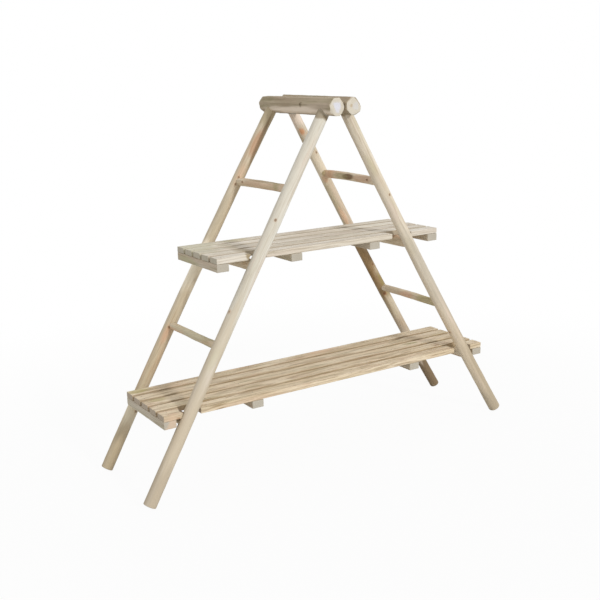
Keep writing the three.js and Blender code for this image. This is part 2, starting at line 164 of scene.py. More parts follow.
class Bench:
    """The node tree of one material, with short calls for the nodes that its finish uses."""

    def __init__(self, name: str) -> None:
        self.material = bpy.data.materials.new(name)
        self.material.use_nodes = True
        self.tree = self.material.node_tree
        self.shader = self.tree.nodes["Principled BSDF"]
        self.coords = self.add("ShaderNodeTexCoord")

    def add(
        self, kind: str, settings: dict | None = None, sockets: dict | None = None
    ) -> bpy.types.Node:
        """Adds a node.

        Args:
            kind: The node's type.
            settings: Its own settings, which are set first.
            sockets: Values or links for its input sockets, by name or number.

        Returns:
            The new node.
        """
        node = self.tree.nodes.new(kind)
        for name, value in (settings or {}).items():
            setattr(node, name, value)
        for key, value in (sockets or {}).items():
            self.feed(node.inputs[key], value)
        return node

    def feed(self, socket: Socket, value: Feed) -> None:
        """Links an output to a socket, or sets the socket's own value.

        Args:
            socket: An input of a node.
            value: What it gets.
        """
        if isinstance(value, Val):
            value = value.socket
        if isinstance(value, Socket):
            self.tree.links.new(value, socket)
        elif socket.type == "RGBA":
            socket.default_value = (*value, 1.0)
        else:
            socket.default_value = value

    def vector(self, operation: str, first: Feed, second: Feed) -> Socket:
        """A vector worked out from two others."""
        node = self.add("ShaderNodeVectorMath", {"operation": operation}, {0: first, 1: second})
        return node.outputs[0]

    def measure(self, operation: str, first: Feed, second: Feed = (0, 0, 0)) -> Val:
        """A number worked out from one or two vectors."""
        node = self.add("ShaderNodeVectorMath", {"operation": operation}, {0: first, 1: second})
        return Val(self, node.outputs["Value"])

    def mix(self, share: Number, base: Feed, over: Feed) -> Socket:
        """A colour that goes from base to over as share goes from 0 to 1."""
        node = self.add("ShaderNodeMix", {"data_type": "RGBA"}, {0: share, 6: base, 7: over})
        return node.outputs[2]

    def skin(self, colour: Feed, share: Val, roughness: tuple[float, float], bump: dict[str, Feed]) -> None:
        """Feeds the shader a colour, a roughness that follows a share, and a bump.

        Args:
            colour: The base colour.
            share: Goes from 0 at the least rough to 1 at the roughest.
            roughness: The least and the most rough.
            bump: The Bump node's sockets.
        """
        low, high = roughness
        bumped = self.add("ShaderNodeBump", sockets=bump).outputs[0]
        feeds = {"Base Color": colour, "Roughness": share * (high - low) + low, "Normal": bumped}
        for name, value in feeds.items():
            self.feed(self.shader.inputs[name], value)

    def along(self, origin: Point, grain: Vector, stretch: Point = (1, 1, 1)) -> Socket:
        """Object coordinates centred on a point and turned so that X runs along the grain.

        Args:
            origin: The point.
            grain: The direction of the fibres.
            stretch: The length of one unit along each axis.

        Returns:
            The coordinates.
        """
        turn = grain.to_track_quat("X", "Z").to_euler()
        place = self.coords.outputs["Object"]
        sockets = {"Vector": place, "Location": origin, "Rotation": turn, "Scale": stretch}
        return self.add("ShaderNodeMapping", {"vector_type": "TEXTURE"}, sockets).outputs[0]

    def noise(self, place: Feed, stretch: Point, seed: float, detail: float) -> bpy.types.Node:
        """Adds noise on a place, with its own number of cells per metre along each axis.

        Args:
            place: The coordinates.
            stretch: Cells per metre along each axis.
            seed: Where in the noise to look.
            detail: How many finer layers it has.

        Returns:
            The noise node.
        """
        shift = (seed * 7.31, seed * 3.17, seed * 5.53)
        place = self.vector("ADD", self.vector("MULTIPLY", place, stretch), shift)
        sockets = {"Vector": place, "Scale": 1.0, "Detail": detail, "Roughness": 0.5}
        return self.add("ShaderNodeTexNoise", {"noise_dimensions": "3D"}, sockets)

    def grain_noise(self, place: Feed, stretch: Point, seed: float, detail: float = 2.0) -> Val:
        """The value of a noise, as a number."""
        return Val(self, self.noise(place, stretch, seed, detail).outputs[0])


# ---- finishes


@dataclass(frozen=True)
class Mark:
    """A patch of another colour on the wood, longer along the grain than across it."""

    at: Point
    along: float
    across: float
    colour: Colour
    strength: float = 0.7
    over_end: bool = False


@dataclass(frozen=True)
class Knot:
    """A knot in the wood: a dark heart with a ring round it, in a halo of turned grain."""

    at: Point
    radius: float
    heart: Colour = paint(92, 64, 42)
    halo: Colour = paint(186, 142, 100)
    rise: float = 0.0012
    stretch: float = 1.3


@dataclass(frozen=True)
class Patch:
    """A change of colour on a stick: a height on a pole, or a depth on a rung.

    It goes all round, unless it has a side that it faces.
    """

    place: float
    along: float
    colour: Colour
    strength: float = 0.6
    side: Point | None = None
    across: float = 0.014

    def on(self, centre: Vector, radius: float) -> Mark:
        """The patch as a mark on a stick of that centre and radius.

        Args:
            centre: The stick's centre at this place.
            radius: The stick's radius there.

        Returns:
            The mark.
        """
        if self.side is None:
            return Mark(tuple(centre), self.along, radius * 4, self.colour, self.strength)
        at = centre + Vector(self.side).normalized() * radius
        return Mark(tuple(at), self.along, self.across, self.colour, self.strength)


def marked(*rows: Row) -> tuple[Mark, ...]:
    """Marks from rows of their fields, with colours in display values."""
    return tuple(Mark(*row[:3], paint(*row[3]), *row[4:]) for row in rows)


def patched(*rows: Row) -> tuple[Patch, ...]:
    """Patches from rows of their fields, with colours in display values."""
    return tuple(Patch(*row[:2], paint(*row[2]), *row[3:]) for row in rows)


@dataclass(frozen=True)
class Bud:
    """A knot on a stick: its height on a pole, or depth on a rung, and the side it faces."""

    place: float
    side: Point
    radius: float
    heart: Colour = paint(96, 66, 44)
    halo: Colour = paint(188, 146, 106)
    rise: float = 0.0012

    def on(self, centre: Vector, radius: float) -> Knot:
        """The knot on a stick of that centre and radius."""
        at = centre + Vector(self.side).normalized() * radius
        return Knot(tuple(at), self.radius, self.heart, self.halo, self.rise)


@dataclass(frozen=True)
class Timber:
    """Bare wood: its colours, the size of its figure, and how rough it is."""

    slot: str
    pale: Colour
    body: Colour
    streak: Colour
    blush: Colour
    olive: Colour
    end_pale: Colour
    end_ring: Colour
    strand: float = 0.006
    strand_length: float = 0.16
    streak_share: float = 0.45
    blush_share: float = 0.45
    olive_share: float = 0.4
    ring_gap: float = 0.006
    ring_share: float = 0.0
    # share of painted shade on faces that look along Y, standing in for the shade in the gaps between slats
    painted_side_shade: float = 0.0
    relief: float = 0.0006
    roughness: tuple[float, float] = (0.58, 0.82)

    def dress(
        self,
        piece: Piece,
        grain: Vector,
        pith: Vector,
        seed: float,
        marks: Sequence[Mark] = (),
        knots: Sequence[Knot] = (),
    ) -> None:
        """Makes this wood for one piece and puts it on the piece.

        Args:
            piece: The piece that gets the finish.
            grain: The direction of its fibres.
            pith: A point on the line that its growth rings run round.
            seed: A number that sets this piece's figure apart from the others'.
            marks: Patches of another colour.
            knots: Knots that show on the surface.
        """
        bench = Bench(f"{piece.name}_{self.slot}")
        place = bench.along(tuple(pith), grain)
        drift = bench.noise(place, (7, 40, 40), seed, 1.0).outputs["Color"]
        drift = bench.vector("SUBTRACT", drift, (0.5, 0.5, 0.5))
        fibre_place = bench.vector("ADD", place, bench.vector("MULTIPLY", drift, (0.0, 0.012, 0.012)))
        per_strand = 1 / self.strand
        per_length = 1 / self.strand_length
        tone = bench.grain_noise(place, (per_length * 0.4, 22, 22), seed + 1)
        strands = bench.grain_noise(fibre_place, (per_length, per_strand, per_strand), seed + 2, 3.0)
        fibre = (per_length * 5, per_strand * 4, per_strand * 4)
        fibres = bench.grain_noise(fibre_place, fibre, seed + 3)
        flush = bench.grain_noise(place, (per_length * 0.7, 34, 34), seed + 4, 3.0)
        green = bench.grain_noise(place, (per_length * 0.5, 45, 45), seed + 5, 3.0)
        speck = (per_length * 9, per_strand * 2.2, per_strand * 2.2)
        specks = bench.grain_noise(fibre_place, speck, seed + 6)
        colour = bench.mix(tone.ease(0.36, 0.64), self.pale, self.body)
        colour = bench.mix(flush.ease(0.5, 0.68) * self.blush_share, colour, self.blush)
        colour = bench.mix(green.ease(0.52, 0.7) * self.olive_share, colour, self.olive)
        colour = bench.mix(strands.ease(0.5, 0.74) * self.streak_share, colour, self.streak)
        if self.ring_share:
            colour = self._rings(bench, fibre_place, colour)
        colour = bench.mix(fibres.ease(0.42, 0.7) * 0.22, colour, self.streak)
        colour = bench.mix(specks.ease(0.68, 0.78) * 0.5, colour, self.streak)
        # painted shade on the faces that look along Y: the shade in the gaps between slats, and a darker
        # front face
        if self.painted_side_shade:
            colour = bench.mix(self._side_shade_mask(bench) * self.painted_side_shade, colour, self.streak)
        for mark in (mark for mark in marks if not mark.over_end):
            colour = self._mark(bench, colour, mark, grain, flush)
        for knot in knots:
            colour = self._knot(bench, colour, knot, grain, flush)
        colour, end = self._end_grain(bench, colour, fibre_place, grain, tone)
        for mark in (mark for mark in marks if mark.over_end):
            colour = self._mark(bench, colour, mark, grain, flush)
        height = strands * 0.5 + fibres * 0.35 + specks * 0.15 + end * fibres * 0.5
        bump = {"Strength": 0.7, "Distance": self.relief, "Height": height}
        bench.skin(colour, strands, self.roughness, bump)
        bench.shader.inputs["Specular IOR Level"].default_value = 0.32
        piece.data.materials.clear()
        piece.data.materials.append(bench.material)

    def _radius(self, bench: Bench, place: Feed) -> Val:
        """Distance from the pith line."""
        return bench.measure("LENGTH", bench.vector("MULTIPLY", place, (0, 1, 1)))

    def _rings(self, bench: Bench, place: Feed, colour: Feed) -> Socket:
        """Adds the lines that growth rings leave on a sawn face."""
        rings = (self._radius(bench, place) * (math.tau / self.ring_gap)).wave()
        return bench.mix(rings.ease(0.62, 1.0) * self.ring_share, colour, self.streak)

    def _side_shade_mask(self, bench: Bench) -> Val:
        """The share of painted shade on a face that looks along Y: a slat's long side, which faces its
        neighbour across the gap, and the front face.
        """
        facing = bench.measure("DOT_PRODUCT", bench.coords.outputs["Normal"], (0, 1, 0))
        return facing.size().ease(0.6, 0.9)

    def _end_grain(
        self, bench: Bench, colour: Feed, place: Feed, grain: Vector, tone: Val
    ) -> tuple[Socket, Val]:
        """Turns the colour to end grain on the faces that lie across the fibres.

        Args:
            bench: The material's bench.
            colour: The colour of the long faces.
            place: Coordinates along the fibres.
            grain: The direction of the fibres.
            tone: The piece's broad change of tone.

        Returns:
            The colour with its end grain, and the share of end grain at each place.
        """
        facing = bench.measure("DOT_PRODUCT", bench.coords.outputs["Normal"], tuple(grain))
        end = facing.size().ease(0.62, 0.86)
        rings = (self._radius(bench, place) * (math.tau / 0.0024)).wave()
        cut = bench.mix(rings * 0.55 + tone * 0.3, self.end_pale, self.end_ring)
        return bench.mix(end, colour, cut), end

    def _reach(
        self, bench: Bench, at: Point, grain: Vector, stretch: Point, ragged: Val, amount: float
    ) -> Val:
        """Distance from a point in its own sizes, made uneven by a noise."""
        return bench.measure("LENGTH", bench.along(at, grain, stretch)) + (ragged - 0.5) * amount

    def _mark(
        self, bench: Bench, colour: Feed, mark: Mark, grain: Vector, ragged: Val
    ) -> Socket:
        """Adds one patch of colour.

        Args:
            bench: The material's bench.
            colour: The colour under it.
            mark: The patch.
            grain: The direction of the fibres.
            ragged: A noise that makes its edge uneven.

        Returns:
            The colour with the patch.
        """
        stretch = (mark.along, mark.across, mark.across)
        reach = self._reach(bench, mark.at, grain, stretch, ragged, 2.4)
        return bench.mix((1 - reach.ease(0.45, 1.15)) * mark.strength, colour, mark.colour)

    def _knot(
        self, bench: Bench, colour: Feed, knot: Knot, grain: Vector, ragged: Val
    ) -> Socket:
        """Adds one knot: its halo, its heart and the crack round the heart.

        Args:
            bench: The material's bench.
            colour: The colour under it.
            knot: The knot.
            grain: The direction of the fibres.
            ragged: A noise that makes its edge uneven.

        Returns:
            The colour with the knot.
        """
        stretch = (knot.radius * knot.stretch, knot.radius, knot.radius)
        reach = self._reach(bench, knot.at, grain, stretch, ragged, 0.8)
        colour = bench.mix((1 - reach.ease(0.8, 2.3)) * 0.55, colour, knot.halo)
        ring = reach.ease(0.7, 0.9) * (1 - reach.ease(0.95, 1.2))
        colour = bench.mix((1 - reach.ease(0.55, 1.0)) * 0.6, colour, knot.heart)
        return bench.mix(ring * 0.8, colour, knot.heart)


@dataclass(frozen=True)
class Steel:
    """Plain steel with a dull, slightly blotched skin."""

    slot: str
    base: Colour
    bloom: Colour
    metallic: float
    roughness: tuple[float, float]

    def material(self, name: str) -> bpy.types.Material:
        """Makes the steel's material.

        Args:
            name: The material's name.

        Returns:
            The material.
        """
        bench = Bench(name)
        place = bench.coords.outputs["Object"]
        cloud = bench.grain_noise(place, (160, 160, 160), 3.0, 4.0)
        fine = bench.grain_noise(place, (900, 900, 900), 5.0, 2.0)
        colour = bench.mix(cloud.ease(0.42, 0.66) * 0.7, self.base, self.bloom)
        bench.shader.inputs["Metallic"].default_value = self.metallic
        bench.skin(colour, cloud, self.roughness, {"Strength": 0.4, "Distance": 0.0002, "Height": fine})
        return bench.material


PEELED_POLE = Timber(
    slot="pole_wood",
    **paints(
        pale=(230, 226, 214), body=(217, 210, 195), streak=(178, 163, 138), blush=(220, 197, 176),
        olive=(203, 198, 172), end_pale=(214, 202, 182), end_ring=(168, 150, 124),
    ),
    strand=0.007, strand_length=0.22,
)
TAN_POLE = replace(
    PEELED_POLE,
    **paints(
        pale=(215, 202, 178), body=(202, 186, 158), streak=(158, 135, 102), blush=(212, 177, 145),
        olive=(184, 174, 138),
    ),
)
ROSY_POLE = replace(
    PEELED_POLE,
    **paints(
        pale=(224, 214, 197), body=(208, 194, 169), streak=(166, 146, 114), blush=(219, 195, 176),
        olive=(196, 187, 150),
    ),
)
PEELED_RUNG = Timber(
    slot="rung_wood",
    **paints(
        pale=(234, 220, 196), body=(220, 203, 174), streak=(162, 137, 104), blush=(220, 182, 150),
        olive=(194, 184, 146), end_pale=(222, 208, 180), end_ring=(170, 140, 104),
    ),
    strand=0.005, strand_length=0.1, blush_share=0.6,
)
HEWN_LOG = Timber(
    slot="log_wood",
    **paints(
        pale=(184, 169, 143), body=(166, 150, 124), streak=(122, 106, 80), blush=(178, 154, 132),
        olive=(152, 143, 106), end_pale=(226, 220, 208), end_ring=(196, 182, 154),
    ),
    strand=0.008, strand_length=0.14, relief=0.001,
)
PALE_SLAT = Timber(
    slot="pale_slat_wood",
    **paints(
        pale=(246, 239, 227), body=(233, 224, 208), streak=(162, 145, 119), blush=(221, 203, 186),
        olive=(206, 202, 178), end_pale=(208, 201, 184), end_ring=(168, 157, 134),
    ),
    strand=0.006, strand_length=0.22, streak_share=0.6, ring_share=0.3, ring_gap=0.009,
)
TAN_SLAT = Timber(
    slot="tan_slat_wood",
    **paints(
        pale=(246, 230, 203), body=(232, 213, 182), streak=(146, 121, 86), blush=(222, 190, 163),
        olive=(184, 174, 132), end_pale=(206, 193, 176), end_ring=(152, 132, 104),
    ),
    strand=0.006, strand_length=0.09, streak_share=0.75, ring_share=0.35, ring_gap=0.008, relief=0.0009,
)
CLEAT_WOOD = Timber(
    slot="cleat_wood",
    **paints(
        pale=(216, 206, 188), body=(198, 186, 164), streak=(144, 124, 96), blush=(204, 180, 156),
        olive=(180, 174, 142), end_pale=(204, 198, 185), end_ring=(160, 148, 128),
    ),
    strand=0.006, strand_length=0.12, ring_share=0.25,
)
ZINC = Steel("zinc_steel", paint(132, 130, 124), paint(104, 98, 88), 0.75, (0.45, 0.7))
NAIL_STEEL = Steel("zinc_steel", paint(150, 138, 122), paint(112, 88, 66), 0.6, (0.5, 0.8))


# ---- hand work on meshes


def start_clean() -> None:
    """Deselects everything, so that an operator acts on the new piece only."""
    bpy.ops.object.select_all(action="DESELECT")


def focus(piece: Piece) -> None:
    """Selects one piece alone and makes it the active one."""
    start_clean()
    piece.select_set(True)
    bpy.context.view_layer.objects.active = piece


def fix_place(piece: Piece) -> None:
    """Moves the object's place, turn and scale into its mesh."""
    focus(piece)
    bpy.ops.object.transform_apply(location=True, rotation=True, scale=True)


def apply_modifier(piece: Piece, kind: str, **settings: object) -> None:
    """Adds a modifier with its settings and applies it.

    Args:
        piece: The piece.
        kind: The modifier's type.
        settings: Its settings, by name.
    """
    focus(piece)
    modifier = piece.modifiers.new(kind.lower(), kind)
    for name, value in settings.items():
        setattr(modifier, name, value)
    bpy.context.view_layer.update()
    bpy.ops.object.modifier_apply(modifier=modifier.name)


def pick(piece: Piece, kind: str, wanted: Callable[[object], bool]) -> int:
    """Selects, in edit mode, the elements of one kind that a test wants.

    Args:
        piece: The piece in edit mode.
        kind: "verts", "edges" or "faces".
        wanted: A test of one element.

    Returns:
        How many it selected.
    """
    bpy.ops.mesh.select_all(action="DESELECT")
    bpy.context.tool_settings.mesh_select_mode = tuple(kind == k for k in ("verts", "edges", "faces"))
    mesh = bmesh.from_edit_mesh(piece.data)
    chosen = [element for element in getattr(mesh, kind) if wanted(element)]
    for element in chosen:
        element.select_set(True)
    mesh.select_flush_mode()
    bmesh.update_edit_mesh(piece.data)
    return len(chosen)


def edit(piece: Piece, on: bool) -> None:
    """Enters or leaves edit mode on one piece."""
    if on:
        focus(piece)
    bpy.ops.object.mode_set(mode="EDIT" if on else "OBJECT")


def slice_off(piece: Piece, at: Vector, outward: Vector) -> None:
    """Cuts away, in edit mode, what lies beyond a plane, and closes the cut."""
    bpy.ops.mesh.select_all(action="SELECT")
    bpy.ops.mesh.bisect(plane_co=at, plane_no=outward, use_fill=True, clear_outer=True)


def roughen(
    piece: Piece, depth: float, cell: float, grain: Vector, stretch: float, seed: float
) -> None:
    """Moves the surface in and out by a noise that is stretched along the grain.

    Args:
        piece: The piece.
        depth: Distance between the deepest and the highest places.
        cell: Size of the noise across the grain.
        grain: Direction of the fibres.
        stretch: How much longer the noise is along the grain.
        seed: Where in the noise this piece lies.
    """
    texture = bpy.data.textures.new("roughness", "CLOUDS")
    texture.noise_scale = 1.0
    texture.noise_depth = 2
    bpy.ops.object.empty_add(location=(seed * cell * 13.7, seed * cell * 9.1, seed * cell * 5.3))
    place = bpy.context.object
    place.rotation_euler = grain.to_track_quat("X", "Z").to_euler()
    place.scale = (cell * stretch, cell, cell)
    bpy.context.view_layer.update()
    apply_modifier(
        piece, "DISPLACE", texture=texture, texture_coords="OBJECT",
        texture_coords_object=place, strength=depth, mid_level=0.5,
    )
    bpy.data.objects.remove(place)
    bpy.data.textures.remove(texture)


def raise_knot(piece: Piece, knot: Knot) -> None:
    """Swells the surface round a knot and sinks the ring round its heart.

    Args:
        piece: The piece.
        knot: The knot, with its place on the surface.
    """
    edit(piece, True)
    at = Vector(knot.at)
    nearest = min((v.co - at).length for v in bmesh.from_edit_mesh(piece.data).verts)
    pick(piece, "verts", lambda v: (v.co - at).length <= nearest + 1e-7)
    bpy.ops.transform.shrink_fatten(
        value=knot.rise, use_proportional_edit=True,
        proportional_edit_falloff="SMOOTH", proportional_size=knot.radius * 2.4,
    )
    if pick(piece, "faces", lambda f: (f.calc_center_median() - at).length < knot.radius):
        bpy.ops.mesh.inset(thickness=0.0005, depth=-0.0003)
        bpy.ops.mesh.inset(thickness=0.0005, depth=0.0005)
    edit(piece, False)


def finish_mesh(piece: Piece) -> None:
    """Points every face outwards and shades the mesh smooth up to an angle."""
    edit(piece, True)
    bpy.ops.mesh.select_all(action="SELECT")
    bpy.ops.mesh.remove_doubles(threshold=0.00001)
    bpy.ops.mesh.normals_make_consistent(inside=False)
    edit(piece, False)
    bpy.ops.object.shade_smooth_by_angle(angle=SMOOTH_UP_TO)


def hand_over(piece: Piece, node: str, body: str) -> None:
    """Hangs the piece on the body that it rides on, and hides the CAD node that it stands for.

    Args:
        piece: The finished piece.
        node: The CAD node that it replaces.
        body: The body that it rides on.
    """
    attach(piece, body)
    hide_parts(node)
    log.info("%s: %d faces, rides on %s", piece.name, len(piece.data.polygons), body)


# ---- sticks


@dataclass(frozen=True)
class Ring:
    """One cross-section of a stick."""

    centre: Vector
    radius: float


def widened(rings: Sequence[Ring]) -> list[Ring]:
    """Rings that have their own radius again once they are subdivided."""
    return [Ring(ring.centre, ring.radius / SUBDIVIDED_LOSS) for ring in rings]


def grow_stick(name: str, rings: Sequence[Ring], ring_sides: int) -> Piece:
    """Models a stick from a filled circle that is extruded from ring to ring.

    Args:
        name: The piece's name.
        rings: Its cross-sections from one end to the other.
        ring_sides: How many corners each ring has.

    Returns:
        The closed stick.
    """
    start_clean()
    grain = rings[-1].centre - rings[0].centre
    bpy.ops.mesh.primitive_circle_add(
        vertices=ring_sides, radius=rings[0].radius, fill_type="NGON",
        location=rings[0].centre, rotation=grain.to_track_quat("Z", "Y").to_euler(),
    )
    piece = bpy.context.object
    piece.name = name
    fix_place(piece)
    edit(piece, True)
    bpy.ops.mesh.select_all(action="SELECT")
    for before, after in zip(rings, rings[1:]):
        step = after.centre - before.centre
        bpy.ops.mesh.extrude_region_move(TRANSFORM_OT_translate={"value": step})
        share = after.radius / before.radius
        bpy.ops.transform.resize(value=(share, share, share), center_override=after.centre)
    bpy.ops.mesh.select_all(action="SELECT")
    bpy.ops.mesh.normals_make_consistent(inside=False)
    edit(piece, False)
    return piece


@dataclass(frozen=True)
class Sway:
    """Small smooth departures of a grown stick from a straight line and an even thickness."""

    seed: int
    reach: float
    swell: float

    def offset(self, share: float) -> Vector:
        """How far the centre stands off at a share of the length.

        Args:
            share: From 0 at one end to 1 at the other.

        Returns:
            The offset.
        """
        draw = random.Random(self.seed)
        moves = Vector()
        for turns in (1.7, 3.9, 7.3):
            angle, phase = draw.uniform(0, math.tau), draw.uniform(0, math.tau)
            size = self.reach / turns * math.sin(math.tau * turns * share + phase)
            moves += Vector((math.cos(angle), math.sin(angle), 0)) * size
        return moves * math.sin(math.pi * share)

    def factor(self, share: float) -> float:
        """How much thicker than even the stick is at a share of the length."""
        draw = random.Random(self.seed + 50)
        waves = (math.sin(math.tau * t * share + draw.uniform(0, math.tau)) / t for t in (2.3, 5.1, 11.7))
        return 1 + self.swell * sum(waves)


@dataclass
class Pole:
    """One peeled pole, from its foot up into its ridge log."""

    side: Side
    face: Face
    top_diameter: float
    foot_diameter: float
    bow: float
    seed: int
    finish: Timber
    patches: tuple[Patch, ...] = ()
    buds: tuple[Bud, ...] = ()
    ring_step: float = 0.014
    end_bevel: float = 0.0016
    past_log_flat: float = 0.008
    sway_reach: float = 0.0009
    swell: float = 0.009

    @property
    def node(self) -> str:
        """The pole's name in the frame."""
        return f"{self.side.name.lower()}_{self.face.name.lower()}_pole"

    @property
    def top(self) -> Vector:
        """The centre line's upper end, on the ridge log's centre line."""
        depth = DEPTH_SHIFT + self.face.value * TOP_SPACING / 2
        return Vector((self.side.value * RIDGE_OFFSET, depth, RIDGE_HEIGHT))

    @property
    def foot(self) -> Vector:
        """The centre of the cut lower end."""
        height = self.foot_diameter / 2 * math.sin(LEAN) - FOOT_WEAR
        depth = DEPTH_SHIFT + self.face.value * FOOT_SPACING / 2
        return Vector((self.side.value * FOOT_OFFSET, depth, height))

    def centre(self, share: float) -> Vector:
        """A point of the centre line, from the foot at 0 to the ridge at 1."""
        bend = Vector((self.bow, 0, 0)) * (4 * share * (1 - share))
        return self.foot.lerp(self.top, share) + bend

    def centre_at(self, height: float) -> Vector:
        """The point of the centre line at a height."""
        return self.centre(self.share_at(height))

    def share_at(self, height: float) -> float:
        """The share of the length at which the centre line has a height."""
        return (height - self.foot.z) / (self.top.z - self.foot.z)

    def radius(self, share: float) -> float:
        """The pole's radius at a share of its length."""
        return (self.foot_diameter + (self.top_diameter - self.foot_diameter) * share) / 2

    def rings(self) -> list[Ring]:
        """The pole's cross-sections, from the foot up.

        Returns:
            The rings, widened by what subdividing takes off them.
        """
        sway = Sway(self.seed, self.sway_reach, self.swell)
        length = (self.top - self.foot).length
        last = 1 - (LOG_HALF - self.past_log_flat) / length
        count = round(length * last / self.ring_step)
        ends = [(0.0, 0.55, 0.0), (0.0, 1.0, self.end_bevel), (self.end_bevel, 1.0, 0.0), (0.004, 1.0, 0.0)]
        rings = []
        for reach, part, less in ends:
            share = reach / length
            rings.append(Ring(self.centre(share), self.radius(share) * part - less))
        for step in range(1, count + 1):
            share = last * step / count
            radius = self.radius(share) * sway.factor(share)
            rings.append(Ring(self.centre(share) + sway.offset(share), radius))
        rings.append(Ring(rings[-1].centre, rings[-1].radius * 0.55))
        return widened(rings)

    def build(self, body: str) -> None:
        """Models, dresses and hands over the pole.

        Args:
            body: The body that it rides on.
        """
        piece = grow_stick(f"peeled_{self.node}", self.rings(), 24)
        grain = (self.top - self.foot).normalized()
        apply_modifier(piece, "SUBSURF", levels=2, render_levels=2)
        roughen(piece, 0.0016, 0.035, grain, 3.0, self.seed)
        roughen(piece, 0.0005, 0.005, grain, 9.0, self.seed + 3)
        marks = [self._placed(patch) for patch in self.patches]
        knots = [self._placed(bud) for bud in self.buds]
        for knot in knots:
            raise_knot(piece, knot)
        edit(piece, True)
        slice_off(piece, Vector((0, 0, INSET)), Vector((0, 0, -1)))
        edit(piece, False)
        finish_mesh(piece)
        self.finish.dress(piece, grain, self.foot, self.seed, marks, knots)
        hand_over(piece, self.node, body)

    def _placed(self, feature: Patch | Bud) -> Mark | Knot:
        """A patch or bud at its height on this pole."""
        return feature.on(self.centre_at(feature.place), self.radius(self.share_at(feature.place)))


@dataclass
class Rung:
    """One peeled rung between the front and the rear pole of a ladder.

    Thickness and rise are given for its front end, its middle and its rear end.
    """

    name: str
    height: float
    thickness: tuple[float, float, float]
    rise: tuple[float, float, float]
    tenon: float
    seed: int
    patches: tuple[Patch, ...] = ()
    buds: tuple[Bud, ...] = ()
    ring_step: float = 0.012
    tenon_length: float = 0.006
    shoulder: float = 0.009
    sway_reach: float = 0.0012
    swell: float = 0.014

    @staticmethod
    def _between(values: tuple[float, float, float], share: float) -> float:
        """A value on the parabola through those of the front end, the middle and the rear end.

        Args:
            values: The three values.
            share: From 0 at the front end to 1 at the rear end.

        Returns:
            The value.
        """
        front, middle, rear = values
        return (
            front * (2 * share - 1) * (share - 1)
            + middle * 4 * share * (1 - share)
            + rear * share * (2 * share - 1)
        )

    def build(self, front: Pole, rear: Pole, node: str, body: str) -> None:
        """Models, dresses and hands over the rung.

        Args:
            front: The pole at its front end.
            rear: The pole at its rear end.
            node: The rung's name in the frame.
            body: The body that it rides on.
        """
        start, end = front.centre_at(self.height), rear.centre_at(self.height)
        length = (end - start).length
        sway = Sway(self.seed, self.sway_reach, self.swell)
        count = round(length / self.ring_step)
        rings = []
        for step in range(count + 1):
            share = step / count
            inset = min(share, 1 - share) * length
            full = self._between(self.thickness, share) / 2
            part = min(1.0, max(0.0, (inset - self.tenon_length) / self.shoulder))
            radius = (self.tenon / 2) * (1 - part) + full * sway.factor(share) * part
            lift = Vector((0, 0, self._between(self.rise, share)))
            rings.append(Ring(start.lerp(end, share) + lift + sway.offset(share), radius))
        rings.insert(0, Ring(rings[0].centre, self.tenon * 0.25))
        rings.append(Ring(rings[-1].centre, self.tenon * 0.25))
        piece = grow_stick(f"peeled_{node}", widened(rings), 20)
        grain = (end - start).normalized()
        apply_modifier(piece, "SUBSURF", levels=2, render_levels=2)
        roughen(piece, 0.0014, 0.024, grain, 2.5, self.seed)
        roughen(piece, 0.0005, 0.004, grain, 8.0, self.seed + 3)
        middle = (start + end) / 2
        placed = []
        for feature in (*self.patches, *self.buds):
            share = (feature.place - start.y) / (end.y - start.y)
            centre = Vector((middle.x, feature.place, middle.z + self._between(self.rise, share)))
            placed.append(feature.on(centre, self._between(self.thickness, share) / 2))
        marks = [item for item in placed if isinstance(item, Mark)]
        knots = [item for item in placed if isinstance(item, Knot)]
        for knot in knots:
            raise_knot(piece, knot)
        finish_mesh(piece)
        PEELED_RUNG.dress(piece, grain, start, self.seed, marks, knots)
        hand_over(piece, node, body)


# ---- ridge logs


@dataclass(frozen=True)
class LogEnd:
    """One end of a log: where it is, how low it hangs and the shares of its upper flats.

    Each facet hewn off its rim has an angle from straight down, a depth and a tilt.
    """

    depth: float
    drop: float
    upper: Point
    facets: tuple[Point, ...]


